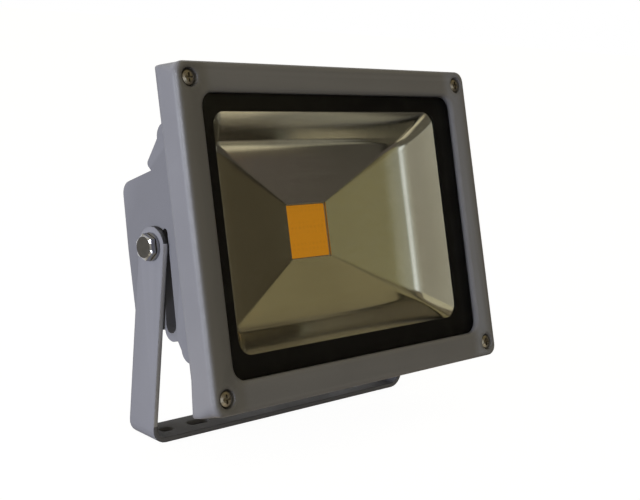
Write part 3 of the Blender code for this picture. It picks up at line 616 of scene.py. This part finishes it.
edges = {
    "front_frame": 0.35,
    "rear_housing": 0.6,
    "rear_cover": 0.5,
    "mounting_bracket": 0.8,
}
edgeSegments = 3
edgeAngle = math.radians(40)  # only edges that turn by more than this are rounded
for name, width in edges.items():
    rounding = nodes[name].modifiers.new("roundedEdges", "BEVEL")
    rounding.width = width * mm
    rounding.segments = edgeSegments
    rounding.limit_method = "ANGLE"
    rounding.angle_limit = edgeAngle
for node in nodes.values():
    node.data.shade_smooth()
    node.data.set_sharp_from_angle(angle=sharpAngle)


# Floor and room: white to the eye, and zones of colour for what metal and glass mirror of them

studio = {
    "floorHalf": 40.0,
    "floorDrop": 0.0002,  # under the bracket, so that the two faces don't lie in one plane
    "floorGlow": 0.96,  # what the eye sees of the floor in full shadow
    "floorLit": 0.12,  # and what the light adds
    "floorBounce": (0.37, 0.37, 0.41),  # the floor's own colour, by which it lights what stands on it
    "paintedShadowPatch": (0.070, 0.0055),  # half width and half depth of the painted shadow on the floor under the bracket's base
    # Mirrored floor in front of the lamp: distance from the lamp, and colour
    "floorShine": (
        (0.00, (0.45, 0.39, 0.30)), (0.10, (0.42, 0.36, 0.28)), (0.125, (0.32, 0.28, 0.22)),
        (0.145, (0.75, 0.68, 0.52)), (0.18, (1.10, 1.00, 0.78)), (0.28, (1.10, 1.00, 0.76)),
        (0.31, (0.16, 0.13, 0.10)), (0.37, (0.14, 0.115, 0.09)), (0.50, (0.105, 0.085, 0.09)),
        (0.70, (0.125, 0.105, 0.105)),
    ),
    # The same to the right of the bearings asideFrom, in degrees
    "floorAside": (
        (0.00, (0.45, 0.39, 0.30)), (0.10, (0.42, 0.36, 0.28)), (0.13, (0.29, 0.255, 0.20)),
        (0.17, (0.30, 0.285, 0.255)), (0.20, (0.33, 0.32, 0.29)), (0.235, (0.42, 0.40, 0.33)),
        (0.275, (0.06, 0.055, 0.055)),
    ),
    "asideFrom": (44, 48),
    "floorDim": (0.13, 0.12, 0.10),  # to the left of the bearings dimFrom, further off than dimPast
    "dimFrom": (32, 26),
    "dimPast": (0.20, 0.225),
    "whiteBehind": (0.03, 0.10),  # the mirrored floor is white this far back
    "whiteRight": (-0.25, -0.12),  # and this far to the right
    # Mirrored room: bearing right of straight ahead, in degrees, and colour
    "room": (
        (-140, (0.12, 0.12, 0.11)), (-100, (0.30, 0.29, 0.27)), (-70, (0.56, 0.53, 0.46)),
        (-54, (0.56, 0.53, 0.46)), (-50, (0.62, 0.59, 0.51)), (-22, (0.72, 0.71, 0.65)),
        (-10, (1.55, 1.65, 1.75)), (3, (1.55, 1.65, 1.75)), (13, (0.62, 0.63, 0.54)),
        (22, (0.54, 0.53, 0.38)), (25.5, (0.39, 0.355, 0.18)), (29, (0.42, 0.365, 0.19)),
        (35, (0.12, 0.11, 0.07)), (40, (0.07, 0.055, 0.045)), (46, (0.06, 0.048, 0.038)),
        (54, (0.035, 0.028, 0.022)), (63, (0.115, 0.095, 0.058)), (95, (0.17, 0.14, 0.09)),
    ),
    # The same above the rise ceilingFrom, which is the Z of a direction
    "ceiling": (
        (-90, (0.90, 0.84, 0.64)), (-24, (0.90, 0.84, 0.64)), (-17, (0.25, 0.21, 0.16)),
        (-6, (0.25, 0.21, 0.16)), (-3, (0.46, 0.40, 0.26)), (3, (0.25, 0.21, 0.15)),
        (8, (0.30, 0.25, 0.17)), (16, (0.10, 0.09, 0.065)), (24, (0.12, 0.10, 0.07)),
        (34, (0.32, 0.28, 0.165)), (50, (0.40, 0.345, 0.19)), (66, (0.36, 0.305, 0.175)),
        (90, (0.30, 0.25, 0.155)),
    ),
    "ceilingFrom": (0.30, 0.40),
    "roomBehind": (0.2, 0.4),  # Y and X of the directions from which the mirrored room is white
    "roomRight": (-0.60, -0.40),
    "ambientAbove": (0.41, 0.37, 0.252),  # even fill for everything that isn't mirrored
    "ambientBelow": (0.39, 0.345, 0.232),
    "ambientTurn": (-0.4, 0.9),
}


def floorAhead(tree, place, distance):
    # Colour of the mirrored floor in front of the lamp
    bearing = bearingOf(tree, place)
    colour = addRamp(tree, distance, studio["floorShine"])
    right = scaled(tree, bearing, *radians(studio["asideFrom"]))
    colour = mixColours(tree, right, colour, addRamp(tree, distance, studio["floorAside"]))
    left = scaled(tree, bearing, *radians(studio["dimFrom"]))
    beyond = scaled(tree, distance, *studio["dimPast"])
    return mixColours(tree, calculate(tree, "MULTIPLY", left, beyond), colour, studio["floorDim"])


def makeFloorMaterial():
    tree, surface = newBareMaterial("paleFloor")
    place = splitAxes(tree, objectCoordinates(tree))
    distance = addNode(tree, "ShaderNodeVectorMath")
    distance.operation = "LENGTH"
    tree.links.new(objectCoordinates(tree), distance.inputs[0])
    glow = shade(white, studio["floorGlow"])
    behind = scaled(tree, place["Y"], *studio["whiteBehind"])
    behind = calculate(tree, "MULTIPLY", behind, scaled(tree, place["X"], *studio["whiteRight"]))
    mirror = mixColours(tree, behind, floorAhead(tree, place, distance.outputs["Value"]), glow)
    # Painted shadow: to the eye the floor is black under the bracket's base
    under = [calculate(tree, "LESS_THAN", calculate(tree, "ABSOLUTE", place[axis]), half)
             for axis, half in zip("XY", studio["paintedShadowPatch"])]
    toEye = mixColours(tree, calculate(tree, "MULTIPLY", *under), glow, black)
    path = addNode(tree, "ShaderNodeLightPath")
    isEye = path.outputs["Is Camera Ray"]
    shown = mixColours(tree, isEye, mirror, toEye)
    seen = calculate(tree, "MAXIMUM", isEye, mirrored(tree, path))
    matte = addNode(tree, "ShaderNodeBsdfDiffuse")
    lit = shade(white, studio["floorLit"])
    tree.links.new(mixColours(tree, seen, studio["floorBounce"], lit), matte.inputs["Color"])
    bright = addNode(tree, "ShaderNodeEmission", Strength=1.0)
    tree.links.new(mixColours(tree, seen, black, shown), bright.inputs["Color"])
    both = addNode(tree, "ShaderNodeAddShader")
    tree.links.new(matte.outputs[0], both.inputs[0])
    tree.links.new(bright.outputs[0], both.inputs[1])
    tree.links.new(both.outputs[0], surface)


def addFloor():
    makeFloorMaterial()
    half = studio["floorHalf"]
    mesh = bpy.data.meshes.new("floor")
    corners = [(-half, -half, 0), (half, -half, 0), (half, half, 0), (-half, half, 0)]
    mesh.from_pydata(corners, [], [(0, 1, 2, 3)])
    mesh.materials.append(made["paleFloor"])
    floor = bpy.data.objects.new("floor", mesh)
    floor.location.z = -studio["floorDrop"]
    bpy.context.scene.collection.objects.link(floor)


def addWorld():
    world = bpy.data.worlds.new("studioWorld")
    bpy.context.scene.world = world
    world.use_nodes = True
    tree = world.node_tree
    axes = splitAxes(tree, addNode(tree, "ShaderNodeTexCoord").outputs["Generated"])
    turn = scaled(tree, bearingOf(tree, axes), -math.pi, math.pi)
    room, ceiling = (addRamp(tree, turn, [((angle + 180) / 360, colour) for angle, colour in studio[part]])
                     for part in ("room", "ceiling"))
    room = mixColours(tree, scaled(tree, axes["Z"], *studio["ceilingFrom"]), room, ceiling)
    behind = scaled(tree, axes["Y"], *studio["roomBehind"])
    behind = calculate(tree, "MULTIPLY", behind, scaled(tree, axes["X"], *studio["roomRight"]))
    room = mixColours(tree, behind, room, white)
    height = scaled(tree, axes["Z"], *studio["ambientTurn"])
    ambient = mixColours(tree, height, studio["ambientBelow"], studio["ambientAbove"])
    fill = tree.nodes["Background"]
    tree.links.new(ambient, fill.inputs["Color"])
    path = addNode(tree, "ShaderNodeLightPath")
    isEye = path.outputs["Is Camera Ray"]
    backdrop = addNode(tree, "ShaderNodeBackground")
    tree.links.new(mixColours(tree, isEye, room, white), backdrop.inputs["Color"])
    seen = calculate(tree, "MAXIMUM", isEye, mirrored(tree, path))
    surface = tree.nodes["World Output"].inputs["Surface"]
    tree.links.new(mixShaders(tree, seen, fill.outputs[0], backdrop.outputs[0]), surface)


# A soft rectangular light, like a window on the left

windowSide = {
    "place": (-1.78, 0.09, 0.22),
    "aim": (0.0, -0.02, 0.09),
    "size": (1.0, 0.42),
    "power": 30.0,
    "tint": (0.875, 0.91, 1.0),
}


def addLamp():
    data = bpy.data.lights.new("windowSide", "AREA")
    data.shape = "RECTANGLE"
    data.size, data.size_y = windowSide["size"]
    data.energy = windowSide["power"]
    data.color = windowSide["tint"]
    lamp = bpy.data.objects.new("windowSide", data)
    lamp.location = windowSide["place"]
    towards = Vector(windowSide["aim"]) - Vector(windowSide["place"])
    lamp.rotation_mode = "QUATERNION"
    lamp.rotation_quaternion = towards.to_track_quat("-Z", "Y")
    bpy.context.scene.collection.objects.link(lamp)


# Camera, solved from the photograph; angles in degrees, lens and sensor in millimetres

camera = {
    "place": (-0.37164, -0.38144, 0.17979),
    "azimuth": -45.68,
    "elevation": 9.91,
    "roll": 4.494,
    "lens": 65.42,
    "sensor": 36.0,
    "shift": (0.0024, -0.0302),
    "clip": (0.01, 50.0),
}


def addCamera():
    data = bpy.data.cameras.new("photoCamera")
    data.sensor_width = camera["sensor"]
    data.lens = camera["lens"]
    data.shift_x, data.shift_y = camera["shift"]
    data.clip_start, data.clip_end = camera["clip"]
    view = bpy.data.objects.new("photoCamera", data)
    turn = Matrix.Rotation(math.radians(camera["azimuth"]), 4, "Z")
    lift = Matrix.Rotation(math.radians(90.0 - camera["elevation"]), 4, "X")
    roll = Matrix.Rotation(math.radians(camera["roll"]), 4, "Z")
    view.matrix_world = Matrix.Translation(camera["place"]) @ turn @ lift @ roll
    bpy.context.scene.collection.objects.link(view)
    bpy.context.scene.camera = view


addFloor()
addWorld()
addLamp()
addCamera()
bpy.context.scene.view_settings.view_transform = "Standard"
print("studio set")
